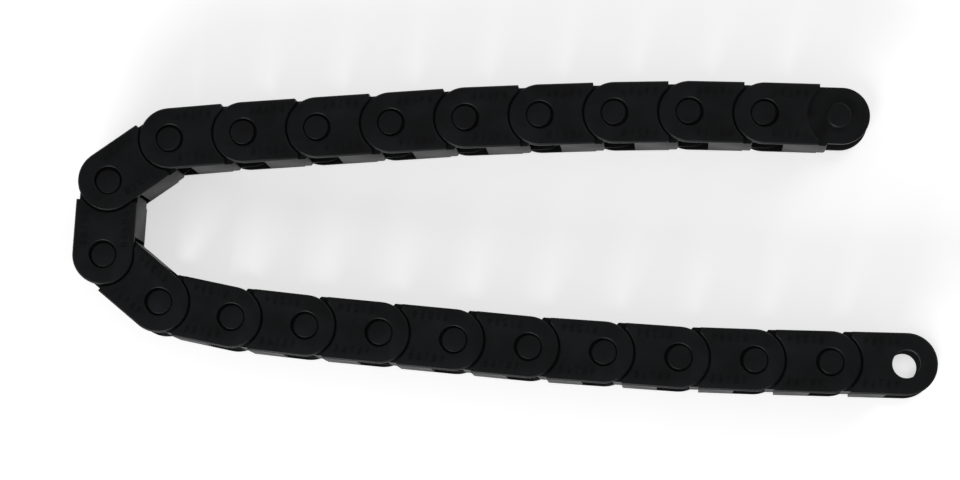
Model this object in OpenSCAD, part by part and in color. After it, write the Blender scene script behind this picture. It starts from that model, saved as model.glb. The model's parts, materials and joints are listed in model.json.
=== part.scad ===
// Cable drag chain of the closed, one-piece-link kind, lying on its side in a U.
// Twenty-two moulded links hang together by snap-in bosses. Millimetres.
// Link frame: the axis of the boss end is at the origin, the ear hole lies at
// [pitch, 0], +Y is the side the chain bends toward and Z runs across the width.

/* [Pose] */
// Heading of the first link, degrees from +X
start_heading = 177.5; // [0:0.5:359.5]
// Bend at pivot 1, degrees toward the inner side
bend_01 = 0.5; // [0:0.5:54]
// Bend at pivot 2, degrees toward the inner side
bend_02 = 2; // [0:0.5:54]
// Bend at pivot 3, degrees toward the inner side
bend_03 = 1; // [0:0.5:54]
// Bend at pivot 4, degrees toward the inner side
bend_04 = 0.5; // [0:0.5:54]
// Bend at pivot 5, degrees toward the inner side
bend_05 = 1.5; // [0:0.5:54]
// Bend at pivot 6, degrees toward the inner side
bend_06 = 0; // [0:0.5:54]
// Bend at pivot 7, degrees toward the inner side
bend_07 = 0; // [0:0.5:54]
// Bend at pivot 8, degrees toward the inner side
bend_08 = 1; // [0:0.5:54]
// Bend at pivot 9, degrees toward the inner side
bend_09 = 30; // [0:0.5:54]
// Bend at pivot 10, degrees toward the inner side
bend_10 = 52; // [0:0.5:54]
// Bend at pivot 11, degrees toward the inner side
bend_11 = 53.5; // [0:0.5:54]
// Bend at pivot 12, degrees toward the inner side
bend_12 = 28; // [0:0.5:54]
// Bend at pivot 13, degrees toward the inner side
bend_13 = 5.5; // [0:0.5:54]
// Bend at pivot 14, degrees toward the inner side
bend_14 = 1; // [0:0.5:54]
// Bend at pivot 15, degrees toward the inner side
bend_15 = 0; // [0:0.5:54]
// Bend at pivot 16, degrees toward the inner side
bend_16 = 0; // [0:0.5:54]
// Bend at pivot 17, degrees toward the inner side
bend_17 = 1.5; // [0:0.5:54]
// Bend at pivot 18, degrees toward the inner side
bend_18 = 0; // [0:0.5:54]
// Bend at pivot 19, degrees toward the inner side
bend_19 = 2; // [0:0.5:54]
// Bend at pivot 20, degrees toward the inner side
bend_20 = 0.5; // [0:0.5:54]
// Bend at pivot 21, degrees toward the inner side
bend_21 = 0; // [0:0.5:54]

/* [Link] */
// Distance from one joint axis to the next
pitch = 18; // [16:0.5:30]
// Height of the side plates
plate_height = 14.8; // [13.6:0.2:20]
// Clear width of the channel between the side walls
inner_width = 10; // [6:0.5:40]
// Thickness of the outer plate with the ear
ear_thickness = 1.3; // [1:0.1:2.5]
// Thickness of the inner plate with the tongue
tongue_thickness = 1.25; // [1:0.05:2.5]
// Thickness of the two crossbars
bar_thickness = 1.6; // [1:0.1:2.2]
// How far a crossbar stops short of the ear axis
bar_front_gap = 4.7; // [4.6:0.1:6]
// How far a crossbar stops short of the boss axis
bar_rear_gap = 2.85; // [2.8:0.05:5]

/* [Joint] */
// Diameter of the hole in the ear
hole_diameter = 6.7; // [5:0.1:7]
// Radial play between boss and hole
boss_play = 0.35; // [0.1:0.05:0.6]
// Gap left on the side that a taut chain closes
boss_seat_gap = 0.05; // [0.02:0.01:0.1]
// How far the boss face lies below the plate face
boss_recess = 0.1; // [0:0.05:0.4]
// Gap between ear and tongue across the width
side_gap = 0.15; // [0.1:0.05:0.4]
// Gap between the ear rim and the hollow end of the next plate
rim_gap = 0.3; // [0.2:0.05:0.6]
// How much lower than the plate edge the tongue edge lies
tongue_inset = 0.6; // [0.4:0.1:1.2]
// How far the tongue nose is set beyond the joint axis
nose_offset = 0.35; // [0:0.05:0.6]
// Gap between the tongue nose and the wall it turns in
nose_gap = 0.35; // [0.2:0.05:0.6]

/* [Stops] */
// Largest bend between two links, degrees
bend_max = 54; // [30:1:54]
// Angle that the hollow plate end keeps clear past the largest bend
horn_slack = 2.5; // [1:0.5:6]
// Radius of the stop lug's path round the joint axis
stop_radius = 5; // [4.8:0.1:5.2]
// Diameter of the stop lug
lug_diameter = 1.1; // [0.8:0.1:1.3]
// How far the stop lug reaches into its groove
lug_reach = 0.4; // [0.2:0.05:0.5]
// Clearance of the stop lug in its groove, all round
stop_clearance = 0.1; // [0.05:0.05:0.2]

/* [Edges] */
// Chamfer along the outer edges of the plates
plate_chamfer = 0.35; // [0.1:0.05:0.6]
// Chamfer round the boss face
boss_chamfer = 0.3; // [0.1:0.05:0.6]
// Chamfer of the mouth of the ear hole
hole_chamfer = 0.2; // [0.1:0.05:0.4]

/* [Hidden] */
$fn = 96;
bends = [bend_01, bend_02, bend_03, bend_04, bend_05, bend_06, bend_07,
         bend_08, bend_09, bend_10, bend_11, bend_12, bend_13, bend_14,
         bend_15, bend_16, bend_17, bend_18, bend_19, bend_20, bend_21];
links = len(bends) + 1;
ear_radius = plate_height / 2;
nose_radius = ear_radius - tongue_inset;
rim_radius = ear_radius + rim_gap;
pocket_radius = nose_offset + nose_radius + nose_gap;
hole_radius = hole_diameter / 2;
boss_radius = hole_radius - boss_play;
boss_shift = boss_play - boss_seat_gap;
tongue_face = ear_thickness + side_gap;
wall = tongue_face + tongue_thickness;
width = inner_width + 2 * wall;
// The tip of the hollow plate end just clears the next plate's edge at the
// largest bend, so its angle round the joint axis follows from both radii.
horn_angle = 90 + acos(ear_radius / rim_radius) - bend_max - horn_slack;
plate_rear = rim_radius * cos(horn_angle);
bar_front = pitch - bar_front_gap;
lug_angle = 180 + bend_max / 2;
groove_halfwidth = lug_diameter / 2 + stop_clearance;
groove_depth = lug_reach + stop_clearance;
groove_over = asin(groove_halfwidth / stop_radius);
groove_from = lug_angle - bend_max - groove_over;
groove_to = lug_angle + groove_over;
groove_mid = (groove_from + groove_to) / 2;
far = 4 * plate_height;

// Heading of link k, and the joint axis at its ear end.
function heading(k) = k == 1 ? start_heading : heading(k - 1) + bends[k - 2];
function axis_at(k) = k == 0 ? [0, 0]
  : axis_at(k - 1) + pitch * [cos(heading(k)), sin(heading(k))];
ear_axes = [for (k = [1 : links]) axis_at(k)];
x_mid = (min([for (p = ear_axes) p[0]]) + max([for (p = ear_axes) p[0]])) / 2;
y_mid = (min([for (p = ear_axes) p[1]]) + max([for (p = ear_axes) p[1]])) / 2;

function link_name(k) = str("link_", k < 10 ? "0" : "", k);

// Outer plate: straight stretch and half-round ear, chamfered on its face.
module plate_blank() {
  translate([pitch, 0, 0]) rotate([0, 0, -90]) rotate_extrude(angle = 180)
    polygon([[0, 0], [ear_radius - plate_chamfer, 0], [ear_radius, plate_chamfer],
             [ear_radius, ear_thickness], [0, ear_thickness]]);
  translate([pitch, 0, 0]) rotate([90, 0, -90]) linear_extrude(pitch - plate_rear)
    polygon([[-ear_radius + plate_chamfer, 0], [ear_radius - plate_chamfer, 0],
             [ear_radius, plate_chamfer], [ear_radius, ear_thickness],
             [-ear_radius, ear_thickness], [-ear_radius, plate_chamfer]]);
}

module outer_plate() difference() {
  plate_blank();
  translate([0, 0, -1]) cylinder(r = rim_radius, h = ear_thickness + 2);
  translate([0, 0, -1])
    cylinder(r1 = rim_radius + plate_chamfer + 1, r2 = rim_radius - 1, h = plate_chamfer + 2);
  translate([pitch, 0, -1]) cylinder(r = hole_radius, h = ear_thickness + 2);
  translate([pitch, 0, -1])
    cylinder(r1 = hole_radius + hole_chamfer + 1, r2 = hole_radius - 1, h = hole_chamfer + 2);
}

// Wall block that joins the outer plate to the tongue and the crossbars, clear
// of the ear behind it and of the tongue that turns in front of it.
module wall_block() translate([0, 0, ear_thickness]) linear_extrude(wall - ear_thickness)
  difference() {
    translate([plate_rear, -ear_radius]) square([bar_front - plate_rear, plate_height]);
    circle(r = rim_radius);
    translate([pitch, 0]) circle(r = pocket_radius);
  }

// Tongue: the inner plate with its round nose, and the groove of the end stops.
module tongue() difference() {
  translate([0, 0, tongue_face]) {
    translate([-nose_offset, 0, 0]) rotate([0, 0, 90]) rotate_extrude(angle = 180)
      square([nose_radius, tongue_thickness]);
    linear_extrude(tongue_thickness) difference() {
      translate([-nose_offset, -nose_radius])
        square([nose_offset + bar_front, 2 * nose_radius]);
      translate([pitch, 0]) circle(r = pocket_radius);
    }
  }
  translate([0, 0, tongue_face - 1]) linear_extrude(groove_depth + 1) intersection() {
    difference() {
      circle(r = stop_radius + groove_halfwidth);
      circle(r = stop_radius - groove_halfwidth);
    }
    polygon([[0, 0], far * [cos(groove_from), sin(groove_from)],
             2 * far * [cos(groove_mid), sin(groove_mid)],
             far * [cos(groove_to), sin(groove_to)]]);
  }
}

// Boss that snaps into the ear of the link behind, drawn off the joint axis by
// the play that a taut chain takes up.
module boss() translate([boss_shift, 0, boss_recess]) {
  cylinder(r1 = boss_radius - boss_chamfer, r2 = boss_radius, h = boss_chamfer);
  translate([0, 0, boss_chamfer])
    cylinder(r = boss_radius, h = tongue_face - boss_recess - boss_chamfer);
}

// Stop lug on the inner face of the ear.
module lug()
  translate([pitch + stop_radius * cos(lug_angle), stop_radius * sin(lug_angle), ear_thickness])
    cylinder(d = lug_diameter, h = side_gap + lug_reach);

module side() {
  outer_plate();
  wall_block();
  tongue();
  boss();
  lug();
}

// Crossbars: the two walls that close the channel above and below the cables.
module bar() translate([0, 0, tongue_face]) linear_extrude(width - 2 * tongue_face)
  polygon([[bar_rear_gap, ear_radius - bar_thickness * 0.6],
           [bar_rear_gap + 0.5, ear_radius - bar_thickness],
           [bar_front - 0.2, ear_radius - bar_thickness],
           [bar_front, ear_radius - bar_thickness * 0.6],
           [bar_front, ear_radius], [bar_rear_gap + 0.4, ear_radius],
           [bar_rear_gap, ear_radius - 0.4]]);

module link_body() {
  side();
  translate([0, 0, width]) mirror([0, 0, 1]) side();
  bar();
  mirror([0, 1, 0]) bar();
}

module link(k) color("#1b1b1d") translate([axis_at(k - 1)[0] - x_mid, axis_at(k - 1)[1] - y_mid, 0])
  rotate([0, 0, heading(k)]) link_body();

for (k = [1 : links]) link(k);
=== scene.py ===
import json
import math

import bpy
from mathutils import Matrix, Vector


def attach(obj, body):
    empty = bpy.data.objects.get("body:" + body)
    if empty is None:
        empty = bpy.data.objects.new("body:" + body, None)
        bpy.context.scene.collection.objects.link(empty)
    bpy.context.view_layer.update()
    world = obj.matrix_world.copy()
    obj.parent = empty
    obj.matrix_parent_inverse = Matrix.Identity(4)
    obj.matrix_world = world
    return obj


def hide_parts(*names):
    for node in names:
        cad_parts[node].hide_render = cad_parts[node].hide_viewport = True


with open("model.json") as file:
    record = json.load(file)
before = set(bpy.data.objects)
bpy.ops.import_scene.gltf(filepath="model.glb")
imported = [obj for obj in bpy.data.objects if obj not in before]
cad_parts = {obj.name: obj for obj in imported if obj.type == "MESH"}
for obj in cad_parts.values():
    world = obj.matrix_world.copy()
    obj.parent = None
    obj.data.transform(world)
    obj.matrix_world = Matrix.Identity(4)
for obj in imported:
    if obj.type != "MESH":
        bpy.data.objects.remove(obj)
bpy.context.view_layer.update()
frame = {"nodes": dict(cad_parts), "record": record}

# The camera stands above the chain, a little toward the outside of the lower
# run, and looks down on the side plates through a long lens.
camera_data = bpy.data.cameras.new("camera")
camera_data.sensor_width = 36
camera_data.lens = 116.9
camera_data.clip_start = 0.05
camera_data.clip_end = 20
camera = bpy.data.objects.new("camera", camera_data)
camera.location = (0.0426, -0.0764, 0.758)
camera.rotation_euler = (math.radians(5.85), math.radians(3.68), math.radians(-0.26))
bpy.context.collection.objects.link(camera)
bpy.context.scene.camera = camera

# The floor is a white sheet, 0.2 mm down, clear of the raised marks. What looks
# at it straight on sees it white, and the shadow of the chain stays on it.
floor_width = 6
floor_height = -0.0002
sheet_white = (0.82, 0.82, 0.82, 1)
sheet_glow = 0.58
bpy.ops.object.select_all(action="DESELECT")
bpy.ops.mesh.primitive_plane_add(size=floor_width, location=(0, 0, floor_height))
floor = bpy.context.object
floor.name = "floor"
sheet = bpy.data.materials.new("white_sheet")
sheet.use_nodes = True
nodes = sheet.node_tree.nodes
links = sheet.node_tree.links
nodes.clear()
surface = nodes.new("ShaderNodeOutputMaterial")
matte = nodes.new("ShaderNodeBsdfDiffuse")
matte.inputs["Color"].default_value = sheet_white
glow = nodes.new("ShaderNodeEmission")
glow.inputs["Color"].default_value = (1, 1, 1, 1)
rays = nodes.new("ShaderNodeLightPath")
seen = nodes.new("ShaderNodeMath")
seen.operation = "MAXIMUM"
links.new(rays.outputs["Is Camera Ray"], seen.inputs[0])
links.new(rays.outputs["Is Glossy Ray"], seen.inputs[1])
seen_through = nodes.new("ShaderNodeMath")
seen_through.operation = "MAXIMUM"
links.new(seen.outputs[0], seen_through.inputs[0])
links.new(rays.outputs["Is Transmission Ray"], seen_through.inputs[1])
strength = nodes.new("ShaderNodeMath")
strength.operation = "MULTIPLY"
strength.inputs[1].default_value = sheet_glow
links.new(seen_through.outputs[0], strength.inputs[0])
links.new(strength.outputs[0], glow.inputs["Strength"])
matte_and_glow = nodes.new("ShaderNodeAddShader")
links.new(matte.outputs[0], matte_and_glow.inputs[0])
links.new(glow.outputs[0], matte_and_glow.inputs[1])
links.new(matte_and_glow.outputs[0], surface.inputs["Surface"])
floor.data.materials.append(sheet)

# Soft studio light: a low broad lamp from the lower left, a weaker one from the
# upper right and a pale room. Each lamp is aimed at the middle of the chain.
room_strength = 0.3
lamps = (
    ("lamp_low_left", (-0.35, -0.78, 0.24), 0.5, 8.0),
    ("lamp_high_right", (0.75, 0.7, 0.45), 0.6, 3.0),
)
room = bpy.data.worlds.new("room")
room.use_nodes = True
room.node_tree.nodes["Background"].inputs["Color"].default_value = (1, 1, 1, 1)
room.node_tree.nodes["Background"].inputs["Strength"].default_value = room_strength
bpy.context.scene.world = room
for name, place, size, watts in lamps:
    lamp_data = bpy.data.lights.new(name, "AREA")
    lamp_data.size = size
    lamp_data.energy = watts
    lamp = bpy.data.objects.new(name, lamp_data)
    lamp.location = place
    lamp.rotation_euler = (-Vector(place)).to_track_quat("-Z", "Y").to_euler()
    bpy.context.collection.objects.link(lamp)
bpy.context.scene.view_settings.view_transform = "Standard"

# The links are one-piece mouldings of black nylon, all from one tool. Each
# snaps its two bosses into the ears of the link before it, and every edge is
# rounded as a moulded edge is. Lengths below are in mm, in the link's own frame:
# the bosses turn about its origin, and the ear hole lies one pitch along X.
mm = 0.001
pitch = 18
edge_radius = 0.09
edge_steps = 2
sharp_edge = math.radians(32)
smooth_edge = math.radians(28)

# Satin black with a faint grain, slightly cloudier and rougher in places.
nylon_dark = (0.0034, 0.0038, 0.0045, 1)
nylon_pale = (0.0072, 0.0079, 0.0092, 1)
nylon = bpy.data.materials.new("black_nylon")
nylon.use_nodes = True
nodes = nylon.node_tree.nodes
links = nylon.node_tree.links
skin = nodes["Principled BSDF"]
skin.inputs["Metallic"].default_value = 0
skin.inputs["IOR"].default_value = 1.5
skin.inputs["Specular IOR Level"].default_value = 0.18
coordinates = nodes.new("ShaderNodeTexCoord")
cloud = nodes.new("ShaderNodeTexNoise")
cloud.inputs["Scale"].default_value = 160
cloud.inputs["Detail"].default_value = 4
links.new(coordinates.outputs["Object"], cloud.inputs["Vector"])
tint = nodes.new("ShaderNodeValToRGB")
tint.color_ramp.elements[0].position = 0.35
tint.color_ramp.elements[0].color = nylon_dark
tint.color_ramp.elements[1].position = 0.7
tint.color_ramp.elements[1].color = nylon_pale
links.new(cloud.outputs["Fac"], tint.inputs["Fac"])
links.new(tint.outputs["Color"], skin.inputs["Base Color"])
gloss = nodes.new("ShaderNodeMapRange")
gloss.inputs["To Min"].default_value = 0.46
gloss.inputs["To Max"].default_value = 0.62
links.new(cloud.outputs["Fac"], gloss.inputs["Value"])
links.new(gloss.outputs["Result"], skin.inputs["Roughness"])
grain = nodes.new("ShaderNodeTexNoise")
grain.inputs["Scale"].default_value = 4200
grain.inputs["Detail"].default_value = 2
links.new(coordinates.outputs["Object"], grain.inputs["Vector"])
relief = nodes.new("ShaderNodeBump")
relief.inputs["Strength"].default_value = 0.35
relief.inputs["Distance"].default_value = 0.00003
links.new(grain.outputs["Fac"], relief.inputs["Height"])
links.new(relief.outputs["Normal"], skin.inputs["Normal"])

# Link n turns on knuckle n - 1 with its bosses and on knuckle n with its ears.
# The free boss stands off its own axis, so only its direction is used.
mounts = {mount["name"]: Vector(mount["pos_m"]) for mount in frame["record"]["mounts"]}
width = mounts["free_ear_bore"].z * 2 / mm
knuckles = [Vector(joint["pos_m"]) for joint in frame["record"]["behaviour"]["joints"]]
for knuckle in knuckles:
    knuckle.z = 0
first_link = knuckles[0] - mounts["free_boss_far"]
first_link.z = 0
knuckles.insert(0, knuckles[0] - first_link.normalized() * pitch * mm)
knuckles.append(Vector((mounts["free_ear_bore"].x, mounts["free_ear_bore"].y, 0)))
link_count = len(knuckles) - 1


def link_place(number):
    along = knuckles[number] - knuckles[number - 1]
    turn = Matrix.Rotation(math.atan2(along.y, along.x), 4, "Z")
    return Matrix.Translation(knuckles[number - 1]) @ turn


def select_only(piece):
    bpy.ops.object.select_all(action="DESELECT")
    piece.select_set(True)
    bpy.context.view_layer.objects.active = piece


def combine(piece, tool, how):
    change = piece.modifiers.new(how.lower(), "BOOLEAN")
    change.operation = how
    change.solver = "EXACT"
    change.object = tool
    select_only(piece)
    bpy.ops.object.modifier_apply(modifier=change.name)
    bpy.data.objects.remove(tool)


def block(low, high):
    bpy.ops.object.select_all(action="DESELECT")
    centre = [(a + b) / 2 * mm for a, b in zip(low, high)]
    bpy.ops.mesh.primitive_cube_add(size=1, location=centre)
    made = bpy.context.object
    made.scale = [(b - a) * mm for a, b in zip(low, high)]
    bpy.ops.object.transform_apply(location=True, rotation=True, scale=True)
    return made


def on_both_walls(outer, inner):
    return (outer, inner), (width - inner, width - outer)


link = frame["nodes"]["link_11"].copy()
link.data = frame["nodes"]["link_11"].data.copy()
link.name = "link_pattern"
link.parent = None
link.matrix_world = Matrix.Identity(4)
bpy.context.collection.objects.link(link)
link.data.transform(link_place(11).inverted())
select_only(link)
bpy.ops.object.mode_set(mode="EDIT")
bpy.ops.mesh.select_all(action="SELECT")
bpy.ops.mesh.remove_doubles(threshold=0.0000005)
bpy.ops.mesh.dissolve_limited(angle_limit=math.radians(0.5))
bpy.ops.object.mode_set(mode="OBJECT")

# The outer crossbar steps down to the tongue's edge at its rear end.
step_from = 1.5
step_to = 4.97
step_floor = -6.8
step_open = -8
step_wall = 1.2
bar_step = block((step_from, step_open, step_wall), (step_to, step_floor, width - step_wall))
combine(link, bar_step, "DIFFERENCE")

# The stop lug and its groove give way to a thin bearing pad round each boss.
for low, high in on_both_walls(1.3, 2.0):
    combine(link, block((12.8, -3.0, low), (14.3, -1.5, high)), "DIFFERENCE")
for low, high in on_both_walls(1.45, 2.1):
    combine(link, block((-5.8, -3.35, low), (-3.45, 3.35, high)), "UNION")
pad_radius = 4.25
pad_end = -5.15
for low, high in on_both_walls(1.33, 1.9):
    combine(link, block((pad_end, -pad_radius, low), (0, pad_radius, high)), "UNION")
    bpy.ops.object.select_all(action="DESELECT")
    bpy.ops.mesh.primitive_cylinder_add(
        vertices=96,
        radius=pad_radius * mm,
        depth=(high - low) * mm,
        location=(0, 0, (low + high) / 2 * mm),
    )
    combine(link, bpy.context.object, "UNION")

rounding = link.modifiers.new("moulded_edges", "BEVEL")
rounding.width = edge_radius * mm
rounding.segments = edge_steps
rounding.limit_method = "ANGLE"
rounding.angle_limit = sharp_edge
rounding.use_clamp_overlap = True
select_only(link)
bpy.ops.object.modifier_apply(modifier="moulded_edges")
bpy.ops.object.shade_smooth_by_angle(angle=smooth_edge)


def copy_to_every_link(pattern, label):
    copies = {}
    for number in range(1, link_count + 1):
        body = "link_%02d" % number
        piece = bpy.data.objects.new("%s_%s" % (body, label), pattern.data.copy())
        piece.data.transform(link_place(number))
        bpy.context.collection.objects.link(piece)
        piece.data.materials.clear()
        piece.data.materials.append(nylon)
        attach(piece, body)
        copies[body] = piece
    bpy.data.objects.remove(pattern)
    return copies


for body, piece in copy_to_every_link(link, "moulding").items():
    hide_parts(body)

# The marks are two plain rows of counting numbers on the outer face of both
# side walls. They are cut into the same tool, so they are of the link's own
# nylon, and they stand 0.16 mm proud.
mark_rows = (("0 1 2 3 4", 5.1), ("5 6 7 8 9", -5.1))
mark_middle = 12
mark_size = 2.4
mark_height = 0.16
rows = []
for text, side in mark_rows:
    upright = Matrix.Rotation(math.pi if side > 0 else 0, 4, "Z")
    for face, tip in ((0, math.pi), (width, 0)):
        bpy.ops.object.select_all(action="DESELECT")
        bpy.ops.object.text_add(location=(0, 0, 0))
        row = bpy.context.object
        row.data.body = text
        row.data.size = mark_size * mm
        row.data.extrude = mark_height * mm
        row.data.align_x = "CENTER"
        row.data.align_y = "CENTER"
        row.data.resolution_u = 3
        bpy.ops.object.convert(target="MESH")
        row = bpy.context.object
        place = Matrix.Translation((mark_middle * mm, side * mm, face * mm))
        row.data.transform(place @ Matrix.Rotation(tip, 4, "X") @ upright)
        row.matrix_world = Matrix.Identity(4)
        rows.append(row)
select_only(rows[0])
for row in rows:
    row.select_set(True)
bpy.ops.object.join()
copy_to_every_link(bpy.context.object, "marks")
